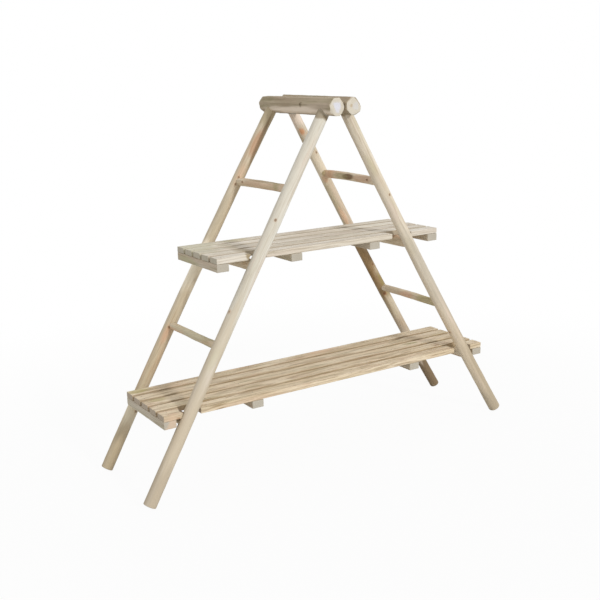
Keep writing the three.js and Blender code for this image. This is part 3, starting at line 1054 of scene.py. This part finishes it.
@dataclass
class RidgeLog:
    """One rough-hewn log of the ridge, with flats along it and facets round its ends."""

    side: Side
    front: LogEnd
    rear: LogEnd
    pith: Point
    seed: int
    marks: tuple[Mark, ...] = ()
    knots: tuple[Knot, ...] = ()
    skin: float = 0.0011
    seat_skin: float = 0.0003
    rim_bevel: float = 0.002
    mesh_cell: float = 0.0018
    upper_flats: tuple[float, float, float] = (128.0, 174.0, 222.0)
    other_flats: tuple[float, ...] = (80.0, 270.0, 316.0)
    seat_flats: tuple[float, float] = (0.0, math.degrees(LEAN))

    def _outward(self, degrees: float) -> Vector:
        """Direction away from the log's centre, by its angle from straight down."""
        angle = math.radians(degrees)
        return Vector((self.side.value * math.sin(angle), 0, -math.cos(angle)))

    def _centre(self, end: LogEnd) -> Vector:
        """The middle of the log at one end."""
        return Vector((self.side.value * RIDGE_OFFSET, end.depth, RIDGE_HEIGHT - end.drop))

    def _hew_flats(self, piece: Piece) -> None:
        """Cuts the flats along the log, each from its place at the front to that at the rear.

        The seats carry the poles and the hinge leaves, so they lie closest to the CAD log's.

        Args:
            piece: The log in edit mode.
        """
        flats = [(angle, (1.0, 1.0), self.skin) for angle in self.other_flats]
        flats += [(angle, (1.0, 1.0), self.seat_skin) for angle in self.seat_flats]
        for angle, shares in zip(self.upper_flats, zip(self.front.upper, self.rear.upper)):
            flats.append((angle, shares, self.skin))
        for degrees, shares, skin in flats:
            side = self._outward(degrees)
            places = [
                self._centre(end) + side * (LOG_HALF * share - skin)
                for end, share in zip((self.front, self.rear), shares)
            ]
            run = (places[1] - places[0]).normalized()
            slice_off(piece, places[0], (side - run * side.dot(run)).normalized())

    def _hew_end(self, piece: Piece, end: LogEnd, sign: int) -> None:
        """Cuts one end square and hews the facets round its rim.

        Args:
            piece: The log in edit mode.
            end: The end.
            sign: -1 at the front and 1 at the rear.
        """
        away = Vector((0, sign, 0))
        slice_off(piece, self._centre(end) - away * self.skin, away)
        for angle, depth, degrees in end.facets:
            side, tilt = self._outward(angle), math.radians(degrees)
            rim = self._centre(end) + side * (LOG_HALF - depth)
            slice_off(piece, rim, side * math.cos(tilt) + away * math.sin(tilt))

    def build(self, body: str) -> None:
        """Models, dresses and hands over the log.

        Args:
            body: The body that it rides on.
        """
        node = f"{self.side.name.lower()}_ridge_log"
        centre = (self._centre(self.front) + self._centre(self.rear)) / 2
        start_clean()
        bpy.ops.mesh.primitive_cube_add(
            size=1, location=centre, scale=(LOG_HALF * 3, self.rear.depth - self.front.depth, LOG_HALF * 3)
        )
        piece = bpy.context.object
        piece.name = f"hewn_{node}"
        fix_place(piece)
        edit(piece, True)
        self._hew_flats(piece)
        self._hew_end(piece, self.front, -1)
        self._hew_end(piece, self.rear, 1)
        edit(piece, False)
        apply_modifier(piece, "BEVEL", width=self.rim_bevel, segments=2, limit_method="ANGLE")
        apply_modifier(piece, "REMESH", mode="VOXEL", voxel_size=self.mesh_cell)
        grain = Vector((0, 1, 0))
        roughen(piece, 0.0016, 0.02, grain, 3.0, self.seed)
        roughen(piece, 0.0008, 0.006, grain, 7.0, self.seed + 3)
        for knot in self.knots:
            raise_knot(piece, knot)
        finish_mesh(piece)
        HEWN_LOG.dress(piece, grain, Vector(self.pith), self.seed, self.marks, self.knots)
        hand_over(piece, node, body)


# ---- shelves


def saw_board(
    name: str, low: Vector, high: Vector, cell: Sequence[float], arris: float
) -> Piece:
    """Models a sawn board from a cube with eased arrises and enough faces to be roughened.

    Args:
        name: The piece's name.
        low: The board's lowest corner.
        high: Its highest corner.
        cell: The size of its faces along X, Y and Z.
        arris: How wide its edges are eased.

    Returns:
        The closed board.
    """
    start_clean()
    bpy.ops.mesh.primitive_cube_add(size=1, location=(low + high) / 2, scale=high - low)
    piece = bpy.context.object
    piece.name = name
    fix_place(piece)
    edit(piece, True)
    bpy.ops.mesh.select_all(action="SELECT")
    bpy.ops.mesh.bevel(offset=arris, segments=2)
    for axis in range(3):
        cuts = math.ceil((high - low)[axis] / cell[axis]) - 1
        pick(piece, "edges", lambda e, a=axis: abs((e.verts[1].co - e.verts[0].co).normalized()[a]) > 0.999
             and e.calc_length() > cell[a])
        if cuts > 0:
            bpy.ops.mesh.subdivide(number_cuts=cuts)
    edit(piece, False)
    return piece


@dataclass
class Nail:
    """A small nail head, driven flush."""

    radius: float = 0.0019
    stands_proud: float = 0.0003
    shank: float = 0.012

    def build(self) -> Piece:
        """Models one nail, head up, with the top of its head on the origin.

        Returns:
            The nail.
        """
        start_clean()
        bpy.ops.mesh.primitive_circle_add(vertices=12, radius=self.radius * 0.6, fill_type="NGON")
        nail = bpy.context.object
        nail.name = "nail"
        edit(nail, True)
        bpy.ops.mesh.select_all(action="SELECT")
        for down, share in ((0.0002, 1.5), (0.0004, 1.1), (0.0008, 0.45), (self.shank, 1.0), (0.002, 0.2)):
            bpy.ops.mesh.extrude_region_move(TRANSFORM_OT_translate={"value": (0, 0, -down)})
            bpy.ops.transform.resize(value=(share, share, 1))
        bpy.ops.mesh.select_all(action="SELECT")
        bpy.ops.mesh.normals_make_consistent(inside=False)
        edit(nail, False)
        return nail


@dataclass
class Shelf:
    """A slatted shelf: long slats across four cleats, the front slat in three pieces.

    The left one of these ends along the pole's slant, and reaches past its CAD node.
    """

    name: str
    wood: Timber
    seed: int
    arris: float = 0.0012
    lean_reach: float = 0.0
    marks: dict[str, tuple[Row, ...]] = field(default_factory=dict)
    nail_from_edge: float = 0.012
    cell_along: float = 0.009
    cell_across: float = 0.0032
    # painted shade on the long faces: a little on the front slat's front face, more on the sides in the
    # gaps
    front_painted_shade: float = 0.2
    inner_painted_shade: float = 0.6

    @property
    def body(self) -> str:
        """The body that the whole shelf rides on."""
        return f"{self.name}_shelf"

    def _slat_nodes(self) -> list[str]:
        """The names of the shelf's slats in the frame."""
        front = [f"{self.body}_front_slat_{part}" for part in ("left", "centre", "right")]
        return front + [f"{self.body}_slat_{number}" for number in range(2, 6)]

    def _cleat_nodes(self) -> list[str]:
        """The names of the shelf's cleats in the frame."""
        return [f"{self.body}_cleat_{number}" for number in range(1, 5)]

    def build(self) -> None:
        """Models, dresses and hands over every slat, every cleat and the nails."""
        for turn, node in enumerate(self._slat_nodes()):
            # faces that look along Y get painted shade: the front face a little, the sides in the gaps more
            share = self.front_painted_shade if "front" in node else self.inner_painted_shade
            wood = replace(self.wood, painted_side_shade=share)
            self._board(node, wood, Vector((1, 0, 0)), self.seed + turn)
        for turn, node in enumerate(self._cleat_nodes()):
            self._board(node, CLEAT_WOOD, Vector((0, 1, 0)), self.seed + 20 + turn)
        self._nails()

    def _board(self, node: str, wood: Timber, grain: Vector, seed: int) -> None:
        """Models, dresses and hands over one slat or cleat.

        Args:
            node: The board's name in the frame.
            wood: Its finish.
            grain: The direction of its fibres.
            seed: Sets its figure apart.
        """
        low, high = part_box(node)
        margin = Vector((INSET, INSET, INSET)) * 2
        cell = [self.cell_along if grain[axis] else self.cell_across for axis in range(3)]
        overhang = self.lean_reach if node.endswith("_front_slat_left") else 0.0
        reach = Vector((overhang, 0, 0))
        piece = saw_board(f"sawn_{node}", low + margin, high - margin + reach, cell, self.arris)
        if overhang:
            edit(piece, True)
            upper_edge = Vector((high.x + overhang - margin.x, 0, high.z))
            slice_off(piece, upper_edge, Vector((math.cos(LEAN), 0, -math.sin(LEAN))))
            edit(piece, False)
        roughen(piece, 0.0007, 0.012, grain, 8.0, seed)
        roughen(piece, 0.0005, 0.004, grain, 14.0, seed + 0.5)
        finish_mesh(piece)
        draw = random.Random(seed)
        tone = draw.uniform(0.93, 1.06)
        pale, body = (tuple(part * tone for part in colour) for colour in (wood.pale, wood.body))
        wood = replace(wood, pale=pale, body=body)
        pith = (low + high) / 2
        pith.z -= draw.uniform(0.02, 0.05)
        pith.y += draw.uniform(-0.02, 0.02) * grain.x
        pith.x += draw.uniform(-0.02, 0.02) * grain.y
        tilt = Vector((grain.y, grain.x, 0)) * draw.uniform(-0.02, 0.02)
        tilt.z = draw.uniform(-0.025, 0.025)
        marks = marked(*self.marks.get(node.removeprefix(f"{self.body}_"), ()))
        wood.dress(piece, (grain + tilt).normalized(), pith, seed * 1.3, marks)
        hand_over(piece, node, self.body)

    def _nails(self) -> None:
        """Drives two nails through each slat into each cleat under it."""
        first = Nail().build()
        draw = random.Random(self.seed)
        copies = []
        for slat in self._slat_nodes():
            slat_low, slat_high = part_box(slat)
            for cleat in self._cleat_nodes():
                cleat_low, cleat_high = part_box(cleat)
                across = (cleat_low.x + cleat_high.x) / 2
                if not slat_low.x < across < slat_high.x:
                    continue
                for depth in (slat_low.y + self.nail_from_edge, slat_high.y - self.nail_from_edge):
                    nail = first.copy()
                    nail.data = first.data.copy()
                    bpy.context.collection.objects.link(nail)
                    stray = Vector((draw.uniform(-0.006, 0.006), draw.uniform(-0.003, 0.003), 0))
                    nail.location = Vector((across, depth, slat_high.z - 0.0001)) + stray
                    copies.append(nail)
        bpy.data.objects.remove(first)
        nails = copies[0]
        focus(nails)
        for nail in copies:
            nail.select_set(True)
        bpy.ops.object.join()
        nails.name = f"{self.body}_nails"
        fix_place(nails)
        nails.data.materials.append(NAIL_STEEL.material(f"{nails.name}_steel"))
        bpy.ops.object.shade_smooth_by_angle(angle=SMOOTH_UP_TO)
        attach(nails, self.body)
        log.info("%s: %d nails", nails.name, len(copies))


# ---- sub-assemblies


@dataclass
class Ladder:
    """One leaning ladder: two poles, their ridge log and the rungs between them."""

    side: Side
    front: Pole
    rear: Pole
    ridge: RidgeLog
    rungs: tuple[Rung, ...]

    @property
    def body(self) -> str:
        """The body that the ladder rides on."""
        return f"{self.side.name.lower()}_ladder"

    def build(self) -> None:
        """Builds the ladder's pieces in order."""
        self.front.build(self.body)
        self.rear.build(self.body)
        self.ridge.build(self.body)
        for rung in self.rungs:
            rung.build(self.front, self.rear, f"{self.side.name.lower()}_{rung.name}", self.body)


@dataclass
class Hinges:
    """The two butt hinges under the ridge logs, whose CAD solids stay."""

    finish: Steel

    def dress(self) -> None:
        """Puts zinc steel on every leaf, pin and screw."""
        steel = self.finish.material("hinge_zinc_steel")
        for name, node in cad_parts.items():
            if "hinge" in name:
                node.data.materials.clear()
                node.data.materials.append(steel)
                log.info("%s: zinc steel", name)


@dataclass
class Studio:
    """Floor, backdrop, lamp and camera."""

    camera_place: Point = (-1.75772, -2.65979, 1.30987)
    camera_right: Point = (0.83808, -0.54501, -0.02425)
    camera_up: Point = (0.14985, 0.18723, 0.97082)
    lens: float = 55.306
    sensor: float = 36.0
    light_travel: Point = (-0.36, 2.64, -1.05)
    lamp_strength: float = 1.4
    lamp_softness: float = 6.0
    room_level: float = 0.70
    floor_size: float = 60.0

    def build(self) -> None:
        """Sets up everything that isn't part of the stand."""
        self._camera()
        self._lamp()
        self._room()
        self._floor()
        bpy.context.scene.view_settings.view_transform = "Standard"

    def _camera(self) -> None:
        """Places the camera where the photograph was taken from."""
        data = bpy.data.cameras.new("camera")
        data.lens = self.lens
        data.sensor_width = self.sensor
        data.clip_end = 200.0
        camera = bpy.data.objects.new("camera", data)
        bpy.context.scene.collection.objects.link(camera)
        right, up = Vector(self.camera_right).normalized(), Vector(self.camera_up).normalized()
        back = right.cross(up)
        turn = Matrix((right, back.cross(right), back)).transposed().to_4x4()
        camera.matrix_world = Matrix.Translation(self.camera_place) @ turn
        bpy.context.scene.camera = camera

    def _lamp(self) -> None:
        """Hangs one soft lamp in front of the stand, to the right."""
        data = bpy.data.lights.new("soft_lamp", "SUN")
        data.energy = self.lamp_strength
        data.angle = math.radians(self.lamp_softness)
        lamp = bpy.data.objects.new("soft_lamp", data)
        bpy.context.scene.collection.objects.link(lamp)
        lamp.rotation_euler = (-Vector(self.light_travel)).to_track_quat("Z", "Y").to_euler()

    def _room(self) -> None:
        """Surrounds the stand with even light, and with white for what looks straight at it."""
        world = bpy.data.worlds.new("white_room")
        bpy.context.scene.world = world
        world.use_nodes = True
        tree = world.node_tree
        seen = self._seen(tree)
        level = tree.nodes.new("ShaderNodeMapRange")
        tree.links.new(seen, level.inputs["Value"])
        level.inputs["To Min"].default_value = self.room_level
        level.inputs["To Max"].default_value = 1.0
        background = tree.nodes["Background"]
        background.inputs["Color"].default_value = (1, 1, 1, 1)
        tree.links.new(level.outputs["Result"], background.inputs["Strength"])

    def _seen(self, tree: bpy.types.NodeTree) -> Socket:
        """1 for rays from the camera and for those that gloss and glass send on.

        Args:
            tree: The node tree that the nodes go into.

        Returns:
            The share.
        """
        path = tree.nodes.new("ShaderNodeLightPath")
        seen = path.outputs["Is Camera Ray"]
        for name in ("Is Glossy Ray", "Is Transmission Ray"):
            either = tree.nodes.new("ShaderNodeMath")
            either.operation = "MAXIMUM"
            tree.links.new(seen, either.inputs[0])
            tree.links.new(path.outputs[name], either.inputs[1])
            seen = either.outputs[0]
        return seen

    def _floor(self) -> None:
        """Lays a plain pale floor that keeps a faint shadow near the stand."""
        start_clean()
        bpy.ops.mesh.primitive_plane_add(size=self.floor_size)
        floor = bpy.context.object
        floor.name = "floor"
        bench = Bench("pale_floor")
        bench.shader.inputs["Base Color"].default_value = (*paint(208, 208, 206), 1.0)
        bench.shader.inputs["Roughness"].default_value = 0.9
        away = bench.measure("LENGTH", bench.coords.outputs["Object"])
        share = Val(bench, self._seen(bench.tree)) * (away.ease(0.9, 2.4) * 0.05 + 0.95)
        white = bench.add("ShaderNodeEmission", sockets={"Color": (1, 1, 1), "Strength": 1.0})
        blend = bench.add(
            "ShaderNodeMixShader", sockets={0: share, 1: bench.shader.outputs[0], 2: white.outputs[0]}
        )
        bench.tree.links.new(blend.outputs[0], bench.tree.nodes["Material Output"].inputs["Surface"])
        floor.data.materials.append(bench.material)


# ---- the stand


LEFT = (-0.97, -0.2, 0.0)             # sides that patches and buds face
FRONT_LEFT = (-0.55, -0.83, 0.0)
FRONT = (0.25, -0.97, 0.0)
RIGHT_FRONT = (0.6, -0.8, 0.0)
RUNG_SIDE = (-0.97, 0.0, 0.2)
RUNG_TOP = (-0.4, 0.0, 0.9)
MIDDLE_TOP = 0.757                    # the shelves' upper faces
BOTTOM_TOP = 0.29
UPPER_RUNG = 0.9495                   # heights of the rungs that carry nothing
LOWER_RUNG = 0.4775
NECK = (142, 124, 94)            # pole tops scribed and browned under the logs


def make_rungs(upper: Rung, lower: Rung, seed: int) -> tuple[Rung, ...]:
    """The four rungs of one ladder, with the two that carry the shelves.

    Args:
        upper: The rung above the middle shelf.
        lower: The rung below it.
        seed: Sets the figure of the two that carry the shelves.

    Returns:
        The rungs from the top down.
    """
    level = (0.0, 0.0, 0.0)
    middle = Rung("middle_shelf_rung", 0.7187, (0.0375, 0.038, 0.0375), level, 0.022, seed)
    bottom = Rung("bottom_shelf_rung", 0.2542, (0.0325, 0.033, 0.0325), level, 0.022, seed + 1)
    return upper, middle, lower, bottom


def left_ladder() -> Ladder:
    """The left ladder, with the sizes and marks of all its pieces.

    Returns:
        The ladder, ready to be built.
    """
    front = Pole(
        Side.LEFT, Face.FRONT, 0.0405, 0.043, -0.004, 11, PEELED_POLE,
        patches=patched(
            (1.172, 0.012, NECK, 0.9), (1.188, 0.012, NECK, 0.8), (0.22, 0.4, (202, 186, 160), 0.85),
            # 0.85 on the front left side: faint painted light on the side away from the lamp
            (0.85, 0.5, (240, 234, 220), 0.15, FRONT_LEFT, 0.03), (0.03, 0.14, (186, 171, 149), 0.6),
            (0.44, 0.05, (206, 198, 166), 0.4, FRONT_LEFT),
        ),
        buds=(Bud(0.86, FRONT_LEFT, 0.003, rise=0.0006), Bud(0.585, LEFT, 0.004)),
    )
    rear = Pole(
        Side.LEFT, Face.REAR, 0.038, 0.0405, -0.011, 12, TAN_POLE,
        patches=patched(
            (1.165, 0.045, (186, 170, 138), 0.8), (0.85, 0.08, (186, 172, 146), 0.5, FRONT_LEFT, 0.016),
            (1.075, 0.06, (192, 148, 114), 0.7, FRONT_LEFT, 0.018),
            (1.08, 0.1, (130, 104, 74), 0.7, FRONT, 0.009),
            # 0.665: painted light that takes out the middle shelf's shadow below it
            (0.98, 0.05, (210, 172, 140), 0.45, FRONT_LEFT, 0.016), (0.665, 0.08, (250, 238, 214), 0.95),
            (0.59, 0.06, (150, 132, 104), 0.4, FRONT, 0.010),
            # 0.2: painted light that takes out the bottom shelf's shadow below it
            (0.45, 0.05, (214, 170, 138), 0.55, FRONT_LEFT, 0.015), (0.2, 0.06, (232, 220, 194), 0.8),
            (0.04, 0.12, (180, 162, 132), 0.7),
        ),
        buds=(
            Bud(0.965, FRONT_LEFT, 0.003), Bud(0.942, FRONT_LEFT, 0.003),
            Bud(0.474, FRONT_LEFT, 0.0035), Bud(0.2, FRONT, 0.004),
        ),
    )
    ridge = RidgeLog(
        Side.LEFT,
        LogEnd(-0.2165, 0.0055, (0.975, 0.98, 0.985), (
            (60, 0.008, 56), (118, 0.007, 50), (165, 0.004, 56), (235, 0.008, 50), (300, 0.005, 56),
        )),
        LogEnd(0.226, 0.001, (0.94, 0.915, 0.93), (
            (40, 0.004, 45), (100, 0.002, 52), (150, 0.004, 50),
            (210, 0.005, 48), (280, 0.005, 45), (340, 0.006, 45),
        )),
        (-0.0285, 0.0, 1.206),
        15,
        marks=marked(
            ((-0.05, 0.0, 1.190), 0.24, 0.019, (238, 222, 203), 0.95),
            ((-0.058, -0.15, 1.205), 0.06, 0.012, (196, 178, 158), 0.6),
            ((-0.045, 0.18, 1.228), 0.06, 0.014, (140, 130, 98), 0.6),
            ((-0.0298, -0.2165, 1.203), 0.02, 0.017, (222, 222, 231), 0.9, True),
            ((-0.0585, -0.026, 1.220), 0.02, 0.003, (110, 96, 70), 0.8),
            ((-0.0585, -0.060, 1.219), 0.014, 0.003, (116, 102, 76), 0.8),
            ((-0.0585, -0.043, 1.211), 0.008, 0.010, (128, 112, 84), 0.7),
        ),
        knots=(Knot((-0.0588, -0.045, 1.2125), 0.0045, paint(104, 88, 64), paint(140, 124, 96), 0.0006),),
    )
    upper = Rung(
        "upper_rung", UPPER_RUNG, (0.0275, 0.028, 0.0275), (0.001, 0.002, 0.0), 0.016, 21,
        patches=patched(
            (-0.1, 0.035, (160, 150, 106), 0.6), (0.03, 0.07, (200, 164, 134), 0.5, RUNG_SIDE),
            (0.0, 0.14, (140, 118, 84), 0.5, RUNG_TOP, 0.008),
        ),
        buds=(Bud(0.11, RUNG_SIDE, 0.003),),
    )
    lower = Rung(
        "lower_rung", LOWER_RUNG, (0.027, 0.0255, 0.0255), (-0.001, -0.001, 0.0), 0.016, 22,
        patches=patched((0.0, 0.2, (196, 188, 158), 0.7), (-0.1, 0.04, (176, 168, 128), 0.5)),
    )
    return Ladder(Side.LEFT, front, rear, ridge, make_rungs(upper, lower, 23))


def right_ladder() -> Ladder:
    """The right ladder, with the sizes and marks of all its pieces.

    Returns:
        The ladder, ready to be built.
    """
    front = Pole(
        Side.RIGHT, Face.FRONT, 0.0375, 0.0435, -0.013, 13,
        replace(ROSY_POLE, pale=paint(231, 220, 201), body=paint(219, 204, 180)),
        patches=patched(
            (1.186, 0.008, NECK, 0.8), (1.0, 0.05, (198, 189, 150), 0.4, FRONT_LEFT),
            (0.84, 0.05, (222, 200, 182), 0.5, FRONT_LEFT), (0.71, 0.04, (202, 188, 152), 0.5, FRONT_LEFT),
            # the LEFT patches are painted light and the RIGHT_FRONT patches painted shade: the side away
            # from the lamp lighter, the side facing it darker
            (0.2, 0.4, (200, 182, 154), 0.75), (0.25, 0.35, (236, 219, 192), 0.75, LEFT, 0.02),
            (0.2, 0.3, (176, 160, 134), 0.75, RIGHT_FRONT, 0.02),
            (0.75, 0.45, (240, 229, 210), 0.35, LEFT, 0.02),
            (0.55, 0.32, (190, 180, 162), 0.75, RIGHT_FRONT, 0.024), (0.03, 0.12, (180, 166, 142), 0.6),
        ),
        buds=(Bud(0.9, FRONT, 0.003, rise=0.0006), Bud(0.36, LEFT, 0.004)),
    )
    rear = Pole(
        Side.RIGHT, Face.REAR, 0.0365, 0.0375, -0.014, 14, ROSY_POLE,
        patches=patched(
            # 1.165: painted light that takes out the ridge log's shade on the pole's top
            (1.165, 0.05, (242, 224, 207), 0.85), (1.108, 0.02, (206, 148, 104), 0.85, FRONT_LEFT, 0.012),
            (1.085, 0.024, (212, 160, 120), 0.75, FRONT, 0.008), (0.98, 0.08, (238, 226, 204), 0.6),
            (0.93, 0.02, (216, 168, 130), 0.5, FRONT_LEFT), (0.78, 0.05, (232, 196, 166), 0.7, FRONT_LEFT),
            # 0.61 and 0.5: painted shade below the middle shelf
            (0.61, 0.1, (150, 120, 78), 0.85), (0.5, 0.075, (150, 122, 84), 0.85),
            (0.5, 0.08, (156, 144, 84), 0.5, FRONT, 0.01), (0.4, 0.06, (148, 126, 90), 0.5, LEFT),
            # 0.09: painted shade at the foot, below the bottom shelf
            (0.31, 0.06, (178, 156, 130), 0.6), (0.09, 0.13, (118, 95, 64), 0.9),
        ),
        buds=(
            Bud(0.452, FRONT_LEFT, 0.005, heart=paint(112, 60, 36)), Bud(1.03, FRONT, 0.003),
            Bud(0.58, FRONT, 0.004), Bud(0.16, LEFT, 0.004),
        ),
    )
    ridge = RidgeLog(
        Side.RIGHT,
        LogEnd(-0.226, 0.0047, (0.985, 0.985, 0.985), (
            (78, 0.004, 56), (132, 0.013, 42), (215, 0.008, 50), (280, 0.005, 54), (20, 0.007, 52),
        )),
        LogEnd(0.188, 0.0, (0.98, 0.99, 1.0), (
            (60, 0.006, 45), (120, 0.005, 45), (190, 0.002, 55), (235, 0.002, 55), (300, 0.006, 45),
        )),
        (0.0195, 0.0, 1.207),
        16,
        marks=marked(
            ((0.035, 0.0, 1.237), 0.25, 0.02, (176, 172, 158), 0.5),
            ((0.0195, -0.226, 1.207), 0.02, 0.006, (186, 160, 122), 0.6, True),
            ((0.036, -0.226, 1.206), 0.02, 0.013, (214, 211, 208), 0.7, True),
        ),
    )
    upper = Rung(
        "upper_rung", UPPER_RUNG, (0.029, 0.029, 0.0285), (-0.0055, 0.0005, -0.0005), 0.016, 31,
        patches=patched(
            (0.11, 0.035, (200, 146, 106), 0.5), (0.0, 0.028, (112, 82, 50), 0.85, RUNG_SIDE, 0.011),
            (0.05, 0.04, (172, 160, 118), 0.5, RUNG_SIDE), (-0.09, 0.04, (206, 164, 136), 0.5, RUNG_SIDE),
        ),
        buds=(
            Bud(-0.116, RUNG_SIDE, 0.003, rise=0.0006),
            Bud(0.148, RUNG_SIDE, 0.009, paint(212, 198, 150), paint(168, 126, 82), 0.002),
        ),
    )
    lower = Rung(
        "lower_rung", LOWER_RUNG, (0.0265, 0.0268, 0.0255), (-0.0045, -0.0005, 0.0), 0.016, 32,
        patches=patched(
            (0.0, 0.045, (218, 172, 142), 0.65, RUNG_SIDE), (-0.1, 0.05, (172, 162, 112), 0.6),
            (0.1, 0.05, (196, 176, 148), 0.5),
        ),
    )
    return Ladder(Side.RIGHT, front, rear, ridge, make_rungs(upper, lower, 33))


def make_shelves() -> tuple[Shelf, Shelf]:
    """The middle and the bottom shelf, with the marks of their slats.

    Returns:
        The shelves, ready to be built.
    """
    middle = Shelf(
        "middle", PALE_SLAT, 41, lean_reach=0.0178,
        marks={
            "slat_5": (
                ((-0.42, 0.1, MIDDLE_TOP), 0.09, 0.06, (196, 192, 164), 0.6),
                ((-0.25, 0.1, MIDDLE_TOP), 0.05, 0.02, (196, 186, 140), 0.5),
                ((0.02, 0.1, MIDDLE_TOP), 0.08, 0.01, (172, 148, 116), 0.5),
            ),
            # the marks near x -0.32 on slats 4, 3 and 2 are a painted shadow: the band that the left front
            # pole casts across the shelf to its rear pole
            "slat_4": (
                ((-0.42, 0.04, MIDDLE_TOP), 0.08, 0.06, (194, 190, 162), 0.6),
                ((-0.318, 0.045, MIDDLE_TOP), 0.03, 0.03, (168, 156, 126), 0.55),
            ),
            "slat_3": (
                ((-0.42, -0.02, MIDDLE_TOP), 0.07, 0.06, (196, 191, 166), 0.5),
                ((-0.322, -0.016, MIDDLE_TOP), 0.03, 0.03, (160, 146, 116), 0.6),
                ((0.15, -0.01, MIDDLE_TOP), 0.08, 0.008, (170, 150, 124), 0.5),
            ),
            "slat_2": (((-0.318, -0.075, MIDDLE_TOP), 0.03, 0.03, (158, 142, 112), 0.6),),
            "cleat_1": (((-0.455, 0.05, 0.725), 0.1, 0.02, (186, 182, 140), 0.5),),
            "front_slat_left": (
                # painted shade on the slanted end, in the narrow gap at the left front pole
                ((-0.336, -0.157, 0.75), 0.012, 0.03, (150, 130, 92), 0.8, True),
            ),
        },
    )
    bottom = Shelf(
        "bottom", TAN_SLAT, 61, arris=0.0016, lean_reach=0.0145,
        marks={
            "slat_2": (
                ((0.5026, -0.095, BOTTOM_TOP), 0.018, 0.008, (142, 104, 66), 0.8),
                ((-0.3, -0.09, BOTTOM_TOP), 0.05, 0.006, (158, 138, 96), 0.6),
            ),
            "slat_3": (
                ((0.45, -0.02, BOTTOM_TOP), 0.05, 0.01, (150, 142, 88), 0.7),
                ((-0.62, -0.02, BOTTOM_TOP), 0.03, 0.02, (178, 168, 116), 0.5),
            ),
            "slat_4": (((0.4276, 0.055, BOTTOM_TOP), 0.03, 0.006, (104, 82, 48), 0.8),),
            "slat_5": (
                ((-0.64, 0.1, BOTTOM_TOP), 0.04, 0.02, (186, 174, 116), 0.6),
                ((0.1, 0.1, BOTTOM_TOP), 0.1, 0.02, (226, 190, 158), 0.5),
            ),
            "front_slat_left": (
                # painted shade on the slanted end, in the narrow gap at the left front pole
                ((-0.603, -0.15, 0.28), 0.006, 0.03, (92, 64, 38), 0.9, True),
                ((-0.645, -0.165, 0.275), 0.03, 0.02, (216, 186, 156), 0.7),
                ((-0.622, -0.172, 0.273), 0.012, 0.006, (170, 122, 80), 0.6),
            ),
            "cleat_1": (
                ((-0.64, -0.172, 0.258), 0.02, 0.024, (216, 190, 164), 0.8, True),
                ((-0.618, -0.172, 0.262), 0.01, 0.007, (150, 104, 66), 0.8, True),
            ),
        },
    )
    return middle, bottom


def main() -> None:
    """Builds the stand and the studio."""
    logging.basicConfig(level=logging.INFO, format="%(name)s: %(message)s")
    for part in (left_ladder(), right_ladder(), *make_shelves()):
        part.build()
    Hinges(ZINC).dress()
    Studio().build()


if __name__ == "__main__":
    main()
